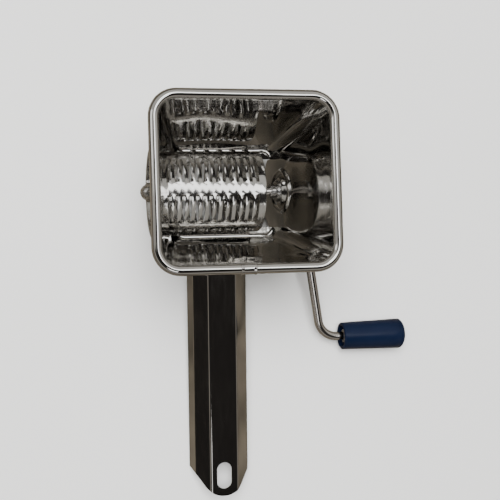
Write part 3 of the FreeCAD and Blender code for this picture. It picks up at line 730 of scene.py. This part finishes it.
def hanging_slot_mesh():
    radius = SLOT_IN_HANDLE_WIDTH / 2
    run = (SLOT_IN_HANDLE_LENGTH - SLOT_IN_HANDLE_WIDTH) / 2
    outline = []
    for k in range(64):
        a = 2 * math.pi * (k + 0.5) / 64
        outline.append((HANDLE_X + radius * math.cos(a),
                        SLOT_IN_HANDLE_Y + math.copysign(run, math.sin(a)) + radius * math.sin(a)))
    bm = bmesh.new()
    add_capped(bm, [[at(x, y, z) for x, y in outline] for z in (FLOOR_Z, 0)])
    return finish_mesh("hanging_slot", bm)


# ---------------------------------------------------------------- drum
def rib_offset(degrees, share, number):
    """Radial lift of a rib's skin: an arch along its length and a slight crown across it."""
    row = int(degrees // ROW_DEG)
    into = degrees - row * ROW_DEG - LAND_DEG / 2
    if into <= 0 or into >= RIB_SPAN:
        return -LAND_DENT * math.sin(math.pi * share)
    arch = math.sin(math.pi * into / RIB_SPAN) ** RIB_ARCH_POWER
    ease = smooth(0, CROWN_EASE_DEG, into) * smooth(RIB_SPAN, RIB_SPAN - CROWN_EASE_DEG, into)
    crown = RIB_CROWN * (1 - (2 * share - 1) ** 2) * ease
    if (row + number) % 2 == 0:
        return RIB_OUT * arch + crown
    return -RIB_IN * arch + INWARD_CROWN_SHARE * crown


def make_drum():
    pitch = SLOT_WIDTH + RIB_WIDTH
    land_half = LAND_DEG / 2
    degrees = []
    for row in range(ROW_COUNT):
        middle = row * ROW_DEG
        degrees += steps(middle - land_half, middle + land_half, 6)[:-1]
        degrees += steps(middle + land_half, middle + ROW_DEG - land_half, 14)[:-1]
    columns = []
    for a in reversed(steps(0, math.pi / 2, 4)[1:]):
        x = DRUM_RIGHT - DRUM_SHEET + DRUM_SHEET * math.sin(a)
        columns.append((x, DRUM_R - DRUM_SHEET * (1 - math.cos(a)), None, 0))
    columns += [(DRUM_RIGHT - DRUM_SHEET, DRUM_R, None, 0), (DRUM_RIGHT - 2, DRUM_R, None, 0)]
    for number in reversed(range(SLOT_COUNT)):
        x = SLOT_START_X + number * pitch
        columns.append((x + SLOT_WIDTH, DRUM_R, None, 0))
        columns.append((x, DRUM_R, "rib", number))
        if number:
            columns += [(x - RIB_WIDTH * share, DRUM_R, "rib", number) for share in (0.2, 0.5, 0.8)]
    columns += [(x, DRUM_R, None, 0) for x in (SLOT_START_X - 1.5, DRUM_LEFT)]
    rows = []
    for x, radius, kind, number in columns:
        row = []
        for angle in degrees:
            a = math.radians(angle)
            lift = 0.0
            slot_edge = SLOT_START_X + (number - 1) * pitch + SLOT_WIDTH
            if kind == "rib" and number:
                lift = rib_offset(angle % 360, (x - slot_edge) / RIB_WIDTH, number)
            row.append((x, radius + lift, a, kind, number))
        rows.append(row)
    bm = bmesh.new()
    starts = [SLOT_START_X + number * pitch for number in range(SLOT_COUNT)]
    slots = [(start, start + SLOT_WIDTH) for start in starts]
    add_drum_faces(bm, rows, degrees, slots)
    drum_mesh = finish_mesh("drum", bm)
    drum = link("drum", drum_mesh)
    side = drum_mesh.polygons[0]
    outward = side.center - at(side.center.x / MM - AXIS.x / MM, 0, 0)
    if side.normal.dot(outward) < 0:
        drum_mesh.flip_normals()
    thicken(drum, DRUM_SHEET, -1)
    apply_modifiers(drum)
    smooth_mesh(drum.data, 42)
    settle(drum, DRUM_STEEL, "crank_drum", "drum_steel", "drum_shell")


def add_drum_faces(bm, rows, degrees, slots):
    """Faces of the drum's skin; a rib's edge and the land's edge beside a slot are separate points."""
    def place(x, radius, a):
        return at(x, radius * math.sin(a), radius * math.cos(a))

    count = len(degrees)
    for j in range(len(rows) - 1):
        x_right = rows[j][0][0]
        x_left = rows[j + 1][0][0]
        middle_x = (x_left + x_right) / 2
        in_slot = any(a < middle_x < b for a, b in slots)
        for i in range(count):
            k = (i + 1) % count
            middle = (degrees[i] + (degrees[k] if k else degrees[0] + 360)) / 2 % 360
            from_land = abs((middle + ROW_DEG / 2) % ROW_DEG - ROW_DEG / 2)
            on_land = from_land < LAND_DEG / 2
            if in_slot and not on_land:
                continue
            corners = []
            for row, column in ((j, i), (j, k), (j + 1, k), (j + 1, i)):
                x, radius, a, kind, number = rows[row][column]
                if in_slot:
                    radius = DRUM_R
                elif kind is None and j > PLAIN_END_COLUMNS:
                    radius = rib_edge_radius(x, a, slots)
                corners.append(bm.verts.new(place(x, radius, a)))
            bm.faces.new(corners)


def rib_edge_radius(x, a, slots):
    """Radius of a rib's edge that borders a slot on its left."""
    for number, (start, end) in enumerate(slots):
        if abs(x - end) < 1e-6 and number + 1 < SLOT_COUNT:
            return DRUM_R + rib_offset(math.degrees(a) % 360, 0.0, number + 1)
    return DRUM_R


def make_end_flange():
    """Flange and skirt at the drum's open end, with rounded edges."""
    outline = [(0.08, DRUM_R), (0, DRUM_R + 0.15), (0, FLANGE_R - 0.4), (0.12, FLANGE_R - 0.1),
               (0.3, FLANGE_R), (0.48, FLANGE_R - 0.1), (0.6, FLANGE_R - 0.4),
               (0.65, FLANGE_SKIRT_R + 0.6), (0.85, FLANGE_SKIRT_R + 0.2), (1.2, FLANGE_SKIRT_R),
               (3.4, FLANGE_SKIRT_R), (3.6, FLANGE_SKIRT_R - 0.1), (3.7, FLANGE_SKIRT_R - 0.4),
               (3.7, DRUM_R)]
    profile = [(DRUM_LEFT + along, r) for along, r in outline]
    bm = bmesh.new()
    add_lathe(bm, profile, 128)
    flange = link("end_flange", finish_mesh("end_flange", bm, 50))
    settle(flange, DRUM_STEEL, "crank_drum", "drum_steel", "drum_end_flange")


# ---------------------------------------------------------------- crank
def make_rod():
    """Bent wire: shaft, leaning arm and grip spindle, with a turned-down left end."""
    lean = math.radians(ARM_LEAN_DEG)
    half_turn = (math.pi / 2 - lean) / 2
    foot = Vector((ARM_FOOT_X, 0))
    knee = Vector((ARM_FOOT_X + ARM_REACH * math.tan(lean), ARM_REACH))
    along_arm = (knee - foot).normalized()
    along_x = Vector((1, 0))
    path = [(Vector((ROD_START_X, 0)), along_x, ROD_END_R - ROD_CHAMFER),
            (Vector((ROD_START_X + ROD_CHAMFER, 0)), along_x, ROD_END_R),
            (Vector((ROD_SHOULDER_X, 0)), along_x, ROD_END_R),
            (Vector((ROD_SHOULDER_X + 0.01, 0)), along_x, ROD_R)]

    def add_bend(corner, back, ahead, radius):
        cut = radius * math.tan(half_turn)
        start = corner - back * cut
        turn_side = ahead - back * back.dot(ahead)
        turn_side.normalize()
        centre = start + turn_side * radius
        for angle in steps(0, 2 * half_turn, 16):
            point = centre - turn_side * radius * math.cos(angle) + back * radius * math.sin(angle)
            heading = back * math.cos(angle) + turn_side * math.sin(angle)
            path.append((point, heading, ROD_R))

    add_bend(foot, along_x, along_arm, ARM_FOOT_BEND_R)
    add_bend(knee, along_arm, along_x, GRIP_BEND_R)
    path.append((Vector((SPINDLE_END_X - ROD_CHAMFER, ARM_REACH)), along_x, ROD_R))
    path.append((Vector((SPINDLE_END_X, ARM_REACH)), along_x, ROD_R - ROD_CHAMFER))
    reach_y = GRIP_Y / ARM_REACH
    reach_z = GRIP_DROP / ARM_REACH
    rows = []
    for point, heading, radius in path:
        across = Vector((-heading.y, heading.x))
        row = []
        for k in range(40):
            a = 2 * math.pi * k / 40
            in_plane = point + across * radius * math.cos(a)
            beside = radius * math.sin(a)
            y = in_plane.y * reach_y - beside * reach_z
            z = in_plane.y * reach_z + beside * reach_y
            row.append(at(in_plane.x, y, z))
        rows.append(row)
    bm = bmesh.new()
    add_capped(bm, rows)
    rod = link("rod", finish_mesh("rod", bm))
    settle(rod, ROD_STEEL, "crank_drum", "rod_steel", "crank_rod")


def add_hexagon(bm, corner_r, x0, x1, bore, chamfer):
    """Hexagonal nut round the drum's axis, its corners chamfered at both ends."""
    count = 96
    inset = corner_r * 0.14
    profile = [(x0, bore, False), (x0, corner_r - inset, True), (x0 + chamfer, corner_r, True),
               (x1 - chamfer, corner_r, True), (x1, corner_r - inset, True), (x1, bore, False)]
    rows = []
    for x, limit, is_hexagon in profile + profile[:1]:
        row = []
        for k in range(count):
            a = 2 * math.pi * k / count
            off_flat = (a + math.pi / 6) % (math.pi / 3) - math.pi / 6
            flat_r = corner_r * math.cos(math.pi / 6) / math.cos(math.pi / 6 - abs(off_flat))
            r = min(limit, flat_r) if is_hexagon else limit
            row.append(at(x, r * math.cos(a), r * math.sin(a)))
        rows.append(row)
    add_grid(bm, rows, closed=True)


def make_nuts():
    bush_x0 = BOSS_FACE_X + SHEET
    bm = bmesh.new()
    add_hexagon(bm, BUSH_NUT_R, bush_x0, bush_x0 + BUSH_NUT_LENGTH, BUSH_R, BUSH_NUT_CHAMFER)
    nut = link("bush_nut_chamfered", finish_mesh("bush_nut_chamfered", bm, 30))
    settle(nut, HARDWARE_STEEL, "body", "hardware_steel", "bush_nut")
    bm = bmesh.new()
    x0, x1 = END_NUT_X
    add_hexagon(bm, END_NUT_R, x0, x1, ROD_END_R, END_NUT_CHAMFER)
    ball_r = (END_DOME_R ** 2 + END_DOME_HEIGHT ** 2) / (2 * END_DOME_HEIGHT)
    dome = [(x0 - END_DOME_HEIGHT + ball_r * (1 - math.cos(a)), ball_r * math.sin(a))
            for a in steps(0.02, math.acos(1 - END_DOME_HEIGHT / ball_r), 12)]
    add_lathe(bm, dome + [(x0 + 0.1, END_DOME_R - 0.2), (x0 + 0.1, 0.02)], 64)
    cap = link("cap_nut", finish_mesh("cap_nut", bm, 30))
    settle(cap, HARDWARE_STEEL, "crank_drum", "hardware_steel", "end_cap_nut")


# ---------------------------------------------------------------- grip
def quarter(x, r, size):
    """Rounded corner from (x, r - size) to (x + size, r)."""
    turn = steps(0, math.pi / 2, 5)
    return [(x + size * (1 - math.cos(a)), r - size * (1 - math.sin(a))) for a in turn]


def make_grip():
    """Tapered grip, hollow at its inner end round a ribbed core, and its domed cap with a fine joint."""
    x0, x1 = GRIP_X
    bore = ROD_R + RUNNING_GAP
    floor_x = x0 + GRIP_RECESS_DEPTH
    core_x = x0 + GRIP_CORE_INSET
    profile = [(core_x, bore), (core_x, GRIP_CORE_R - 0.2), (core_x + 0.2, GRIP_CORE_R),
               (floor_x - 0.4, GRIP_CORE_R), (floor_x, GRIP_CORE_R + 0.4), (floor_x, GRIP_RECESS_R),
               (x0 + 0.35, GRIP_RECESS_R), (x0, GRIP_RECESS_R + 0.35)]
    profile += quarter(x0, GRIP_INNER_R, GRIP_ROUND)
    for share in steps(0, 1, 8)[1:]:
        r = GRIP_INNER_R + (GRIP_OUTER_R - GRIP_INNER_R) * share
        profile.append((x0 + GRIP_ROUND + (x1 - x0 - 1.0) * share, r))
    profile += [(x1, GRIP_OUTER_R - CAP_SEAM), (x1, CAP_BORE_R)]
    profile += [(CAP_BORE_X, CAP_BORE_R), (CAP_BORE_X, bore)]
    bm = bmesh.new()
    add_lathe(bm, profile, 112, GRIP_Y, GRIP_DROP)
    for turn in range(4):
        angle = math.radians(90 * turn + 45)
        add_core_rib(bm, angle, core_x + 0.6, floor_x + 0.3, GRIP_CORE_R - 0.3, GRIP_RECESS_R + 0.3)
    body = link("grip_sleeve", finish_mesh("grip_sleeve", bm, 40))
    settle(body, GRIP_BLUE, "grip", "grip_plastic", "grip_body")
    bm = bmesh.new()
    cap = [(x1, CAP_BORE_R + 0.1), (x1, GRIP_OUTER_R - CAP_SEAM), (x1 + CAP_SEAM, GRIP_OUTER_R)]
    depth = GRIP_CAP_END_X - x1 - CAP_SEAM
    for a in steps(0, math.pi / 2, 12)[1:]:
        share = CAP_FLAT_SHARE + (1 - CAP_FLAT_SHARE) * math.cos(a)
        cap.append((x1 + CAP_SEAM + depth * math.sin(a), GRIP_OUTER_R * share))
    cap += [(GRIP_CAP_END_X, GRIP_OUTER_R * share) for share in (0.25, 0.003)]
    cap += [(x1 + 0.4, 0.02), (x1 + 0.4, 3.6), (x1 - 2.6, 3.6), (x1 - 2.6, 4.5)]
    add_lathe(bm, cap, 112, GRIP_Y, GRIP_DROP)
    end = link("grip_cap", finish_mesh("grip_cap", bm, 40))
    settle(end, GRIP_BLUE, "grip", "grip_plastic", "grip_end_cap")


def add_core_rib(bm, angle, x0, x1, r0, r1):
    """Rib between the grip's core and its wall."""
    out = Vector((0, math.sin(angle), math.cos(angle)))
    beside = Vector((0, math.cos(angle), -math.sin(angle))) * CORE_RIB_HALF
    centre = Vector((0, GRIP_Y, GRIP_DROP))
    loop = [centre + out * r0 - beside, centre + out * r1 - beside, centre + out * r1 + beside,
            centre + out * r0 + beside]
    add_capped(bm, [[at(x, p.y, p.z) for p in loop] for x in (x0, x1)])


# ---------------------------------------------------------------- CAD nodes that stay
NODE_MATERIALS = {
    "rim_wire": RIM_STEEL,
    "drum_bearing_collar": RIM_STEEL,
    "handle_saddle": HANDLE_STEEL,
    "end_spider": DRUM_STEEL,
    "drum_drive_plate": DRUM_STEEL,
}


def dress_nodes():
    for name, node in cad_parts.items():
        material = NODE_MATERIALS.get(name, HARDWARE_STEEL)
        if name.startswith(("grip_body", "grip_end")):
            material = GRIP_BLUE
        node.data.materials.clear()
        node.data.materials.append(material)
        smooth_mesh(node.data, 30)


# ---------------------------------------------------------------- camera and stage
CAMERA_AT = Vector((-115.76, 17.87, 443.11)) * MM
YAW, PITCH, ROLL = 0.237, 0.017, -0.030
FOCAL = 65.95
SENSOR_WIDTH = 36

FLOOR_REACH = 1.6
FLOOR_GAP = 0.3 * MM              # from the floor up to the table top of the reflections
TABLE_DARK = (0.035, 0.029, 0.021)
TABLE_LIGHT = (0.150, 0.128, 0.098)
TABLE_GLOW = (0.044, 0.041, 0.035)
UNDER_MILL = (0.10, 0.095, 0.088)

BACKDROP_R = 1.45
BACKDROP_BEND_R = 0.5
BACKDROP_HEIGHT = 2.5
BACKDROP_DROP = 0.002
BACKDROP_COLOUR = (0.80, 0.80, 0.79)
BACKDROP_STRENGTH = 1.05

# Stops of the room's glow: (how far up one looks, colour).
ROOM_DARK = (0.022, 0.020, 0.019)
GLOW_BEHIND = ((0.15, ROOM_DARK), (0.34, (0.46, 0.44, 0.40)),
               (0.90, (0.52, 0.51, 0.48)), (0.975, ROOM_DARK))
GLOW_IN_FRONT = ((0.10, ROOM_DARK), (0.24, (0.30, 0.28, 0.25)),
                 (0.50, (0.30, 0.28, 0.25)), (0.72, ROOM_DARK))


def make_camera():
    forward = Vector((math.sin(YAW) * math.cos(PITCH), math.sin(PITCH),
                      -math.cos(YAW) * math.cos(PITCH)))
    side = Vector((math.cos(YAW), 0, math.sin(YAW)))
    above = side.cross(forward)
    right = math.cos(ROLL) * side + math.sin(ROLL) * above
    up = -math.sin(ROLL) * side + math.cos(ROLL) * above
    data = bpy.data.cameras.new("camera")
    data.lens = FOCAL
    data.sensor_width = SENSOR_WIDTH
    data.clip_start = 0.01
    camera = bpy.data.objects.new("camera", data)
    rotation = Matrix((right, up, -forward)).transposed().to_4x4()
    camera.matrix_world = Matrix.Translation(CAMERA_AT) @ rotation
    bpy.context.scene.collection.objects.link(camera)
    bpy.context.scene.camera = camera


def flat_sheet(name, z, dark, light, glow, cloud_scale):
    """Large level sheet with a faintly cloudy matt colour."""
    bm = bmesh.new()
    spread = steps(-FLOOR_REACH, FLOOR_REACH, 8)
    add_grid(bm, [[Vector((x, y, z)) for x in spread] for y in spread])
    sheet = link(name, finish_mesh(name, bm))
    if sheet.data.polygons[0].normal.z < 0:
        sheet.data.flip_normals()
    material, nodes, links, shader = new_material(name)
    cloud = noise_map(nodes, links, cloud_scale, detail=2.0)
    links.new(tint(nodes, links, cloud, dark, light), shader.inputs["Base Color"])
    shader.inputs["Emission Color"].default_value = (*glow, 1)
    shader.inputs["Emission Strength"].default_value = 1.0
    shader.inputs["Roughness"].default_value = 0.85
    shader.inputs["Specular IOR Level"].default_value = 0.2
    sheet.data.materials.append(material)
    return sheet


def darken_under_mill(material):
    """Deep shadow colour where the mill itself hides the floor."""
    nodes = material.node_tree.nodes
    links = material.node_tree.links
    base = nodes["Principled BSDF"].inputs["Base Color"]
    coordinates = nodes.new("ShaderNodeTexCoord")
    distance = nodes.new("ShaderNodeVectorMath")
    distance.operation = "DISTANCE"
    distance.inputs[1].default_value = (AXIS.x + 17 * MM, AXIS.y, 0)
    links.new(coordinates.outputs["Object"], distance.inputs[0])
    under = remap(nodes, links, distance.outputs["Value"], 1.0, 0.0, 0.015, 0.026)
    mix = nodes.new("ShaderNodeMix")
    mix.data_type = "RGBA"
    mix.inputs["B"].default_value = (*UNDER_MILL, 1)
    links.new(under, mix.inputs["Factor"])
    links.new(base.links[0].from_socket, mix.inputs["A"])
    links.new(mix.outputs["Result"], base)


def make_floor():
    """Plain pale floor, and the brown table top that the steel shows in its reflections."""
    floor = flat_sheet("floor", 0.0, (0.90, 0.90, 0.89), (0.93, 0.93, 0.92), (0, 0, 0), 3.0)
    floor.visible_glossy = False
    darken_under_mill(floor.data.materials[0])
    table = flat_sheet("table_in_reflections", FLOOR_GAP, TABLE_DARK, TABLE_LIGHT, TABLE_GLOW, 26.0)
    table.visible_camera = False
    table.visible_diffuse = False
    table.visible_shadow = False


def make_backdrop():
    """Pale wall round the floor, seen only by the camera: the steel keeps its dark surroundings."""
    bm = bmesh.new()
    profile = []
    for a in steps(0, math.pi / 2, 10):
        height = BACKDROP_BEND_R - BACKDROP_BEND_R * math.cos(a)
        profile.append((BACKDROP_R + BACKDROP_BEND_R * math.sin(a), height))
    profile.append((BACKDROP_R + BACKDROP_BEND_R, BACKDROP_HEIGHT))
    turn = steps(0, 2 * math.pi, 96)[:-1]
    rows = [[Vector((r * math.cos(a), r * math.sin(a), z - BACKDROP_DROP)) for a in turn]
            for r, z in profile]
    add_grid(bm, rows, closed=True)
    wall = link("backdrop", finish_mesh("backdrop", bm))
    material, nodes, links, shader = new_material("backdrop_pale")
    shader.inputs["Base Color"].default_value = (0, 0, 0, 1)
    shader.inputs["Emission Color"].default_value = (*BACKDROP_COLOUR, 1)
    shader.inputs["Emission Strength"].default_value = BACKDROP_STRENGTH
    wall.data.materials.append(material)
    wall.visible_glossy = False
    wall.visible_diffuse = False
    wall.visible_shadow = False
    wall.visible_transmission = False


def soft_box(name, place, target, width, height, brightness, for_steel):
    """Soft box of an even brightness, seen only in reflections or lighting only matt surfaces."""
    data = bpy.data.lights.new(name, "AREA")
    data.shape = "RECTANGLE"
    data.size = width
    data.size_y = height
    data.energy = brightness * math.pi * width * height
    light = bpy.data.objects.new(name, data)
    direction = (Vector(place) - Vector(target)).normalized()
    turn = direction.to_track_quat("Z", "Y").to_matrix().to_4x4()
    light.matrix_world = Matrix.Translation(Vector(place)) @ turn
    light.visible_camera = False
    light.visible_glossy = for_steel
    light.visible_diffuse = not for_steel
    bpy.context.scene.collection.objects.link(light)


def make_world():
    """Room with a soft glow: from low to nearly overhead behind the mill, only low in front of it."""
    world = bpy.data.worlds.new("studio")
    world.use_nodes = True
    nodes = world.node_tree.nodes
    links = world.node_tree.links
    coordinates = nodes.new("ShaderNodeTexCoord")
    split = nodes.new("ShaderNodeSeparateXYZ")
    links.new(coordinates.outputs["Generated"], split.inputs["Vector"])
    colours = []
    for stops in GLOW_BEHIND, GLOW_IN_FRONT:
        ramp = nodes.new("ShaderNodeValToRGB")
        ramp.color_ramp.interpolation = "EASE"
        for end, (position, colour) in zip(ramp.color_ramp.elements, (stops[0], stops[-1])):
            end.position = position
            end.color = (*colour, 1)
        for position, colour in stops[1:-1]:
            ramp.color_ramp.elements.new(position).color = (*colour, 1)
        links.new(split.outputs["Z"], ramp.inputs["Fac"])
        colours.append(ramp.outputs["Color"])
    mix = nodes.new("ShaderNodeMix")
    mix.data_type = "RGBA"
    links.new(remap(nodes, links, split.outputs["Y"], 1.0, 0.0, -0.10, 0.12), mix.inputs["Factor"])
    links.new(colours[0], mix.inputs["A"])
    links.new(colours[1], mix.inputs["B"])
    links.new(mix.outputs["Result"], nodes["Background"].inputs["Color"])
    bpy.context.scene.world = world


make_camera()
make_floor()
make_backdrop()
make_world()
OBJECT = (0.0, 0.0, 0.03)
soft_box("overhead", (0.17, 0.16, 1.0), OBJECT, 0.60, 0.22, 3.0, True)
soft_box("front_left", (-0.12, -0.52, 0.90), OBJECT, 0.26, 0.30, 2.0, True)
soft_box("left", (-0.95, 0.35, 0.75), OBJECT, 0.35, 0.5, 1.2, True)
soft_box("room", (-0.3, 0.35, 1.6), OBJECT, 1.1, 1.1, 15.0, False)

dress_nodes()
make_hopper()
make_rim_clip()
make_handle()
make_drum()
make_end_flange()
make_rod()
make_nuts()
make_grip()
